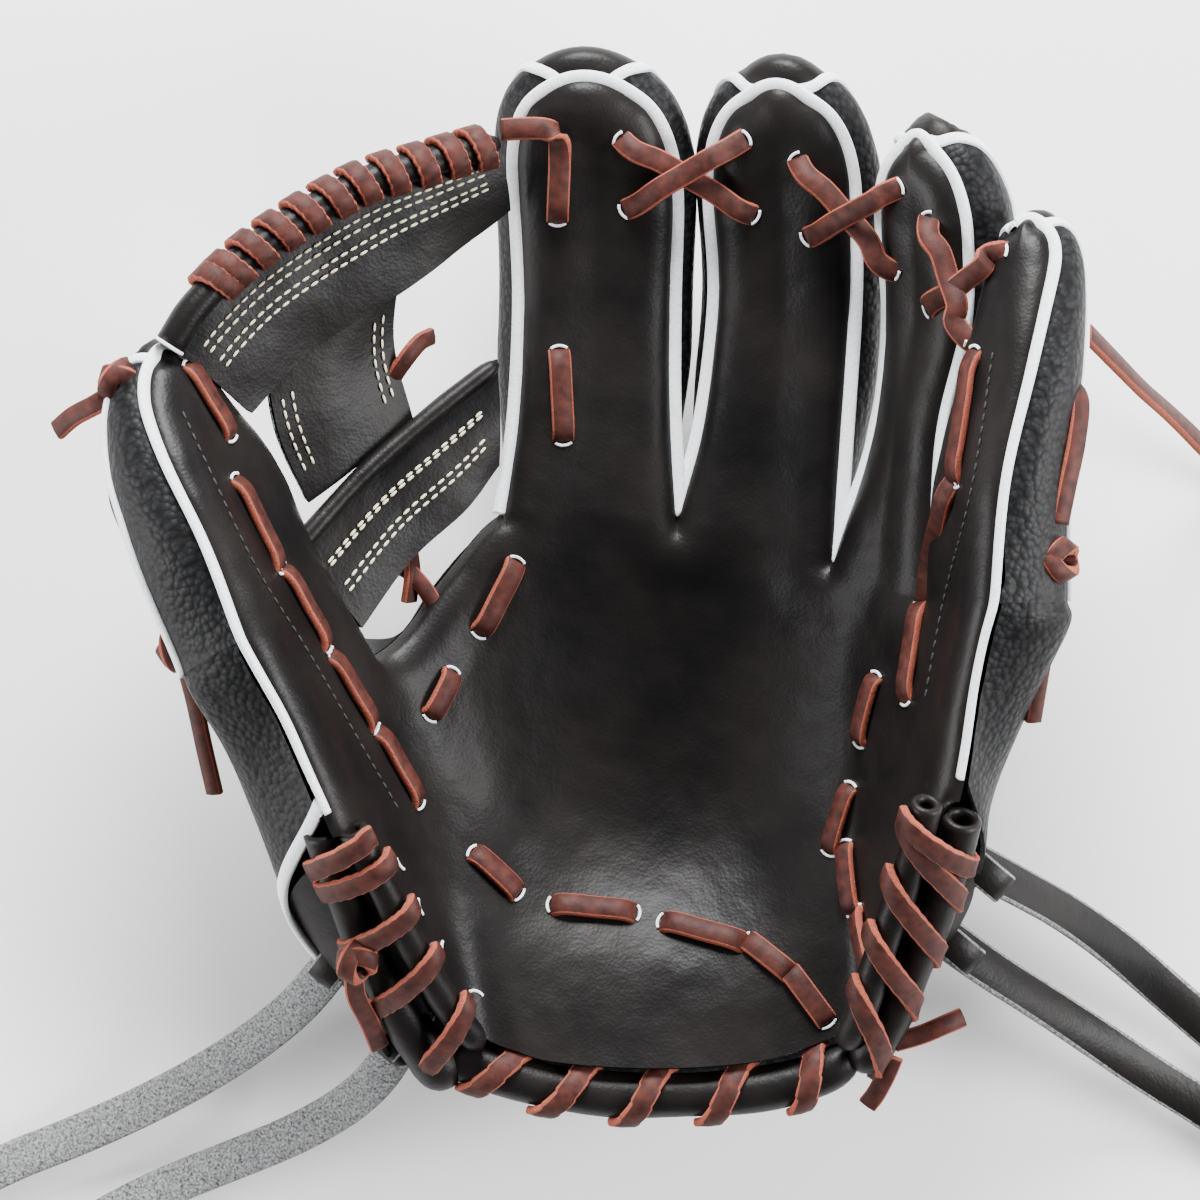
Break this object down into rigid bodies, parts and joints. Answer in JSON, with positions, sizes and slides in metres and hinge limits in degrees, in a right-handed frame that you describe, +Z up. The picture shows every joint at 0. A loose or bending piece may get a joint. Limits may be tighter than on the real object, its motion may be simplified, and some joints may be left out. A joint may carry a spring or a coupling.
{
  "type": "baseball fielding glove",
  "caption": "Left-hand infield baseball glove lying palm up, with an I-web, five laced stalls, welted seams, heel rolls and loose thumb and little finger straps; both sides fold inwards.",
  "frame": {"origin": "under the middle of the glove, without its loose straps, on the surface it lies on", "axes": "+X from the thumb to the little finger, +Y towards the fingertips, +Z up out of the pocket"},
  "size_m": [0.3857, 0.327, 0.1136],
  "materials": {
    "smooth_leather": "satin",
    "pebbled_leather": "satin",
    "strap_leather": "matte",
    "lace": "satin",
    "welting": "satin",
    "felt": "matte",
    "lining": "matte",
    "fleece": "matte"
  },
  "bodies": {
    "palm": {"fingertip_lace": "lace", "hand_back_shell": "pebbled_leather", "heel_lace": "lace", "heel_roll": "smooth_leather", "index_back_shell": "pebbled_leather", "index_lace": "lace", "index_pad": "felt", "index_welting": "welting", "middle_back_shell": "pebbled_leather", "middle_pad": "felt", "middle_welting": "welting", "palm_lace": "lace", "palm_liner": "lining", "palm_pad": "felt", "palm_shell": "smooth_leather", "ring_lace": "lace", "web_base_lace": "lace", "web_bottom_bar": "smooth_leather", "web_lace": "lace", "web_post": "smooth_leather", "web_top_bar": "smooth_leather", "wrist_fleece": "fleece", "wrist_strap": "pebbled_leather"},
    "thumb": {"thumb_back_lace": "lace", "thumb_back_shell": "pebbled_leather", "thumb_heel_lace": "lace", "thumb_heel_roll": "smooth_leather", "thumb_lace": "lace", "thumb_loop": "strap_leather", "thumb_pad": "felt", "thumb_shell": "smooth_leather", "thumb_side_panel": "pebbled_leather", "thumb_strap_lower": "strap_leather", "thumb_strap_upper": "strap_leather", "thumb_tip_lace": "lace", "thumb_welting": "welting", "thumb_wrist_roll": "smooth_leather"},
    "outer": {"little_back_shell": "pebbled_leather", "little_lace": "lace", "little_loop": "strap_leather", "little_pad": "felt", "little_welting": "welting", "outer_back_lace": "lace", "outer_heel_lace": "lace", "outer_heel_roll": "smooth_leather", "outer_lace": "lace", "outer_shell": "smooth_leather", "outer_side_panel": "pebbled_leather", "outer_strap_lower": "strap_leather", "outer_strap_upper": "strap_leather", "outer_wrist_roll": "smooth_leather", "ring_back_shell": "pebbled_leather", "ring_pad": "felt", "ring_welting": "welting", "lace_end": "lace"}
  },
  "joints": [
    {"name": "thumb_fold", "type": "hinge", "parent": "palm", "child": "thumb", "pos_m": [-0.023, -0.1122, 0.06141], "axis": [-0.2394, 0.9701, -0.0391], "range_deg": [0, 22], "stiffness_Nm_per_rad": 0.4, "deforming": ["web_top_bar", "web_post", "web_bottom_bar", "web_lace", "web_base_lace"]},
    {"name": "outer_fold", "type": "hinge", "parent": "palm", "child": "outer", "pos_m": [0.0743, -0.1117, 0.05941], "axis": [0.0407, -0.9958, 0.0814], "range_deg": [0, 20], "stiffness_Nm_per_rad": 0.4, "deforming": ["ring_lace"]}
  ]
}
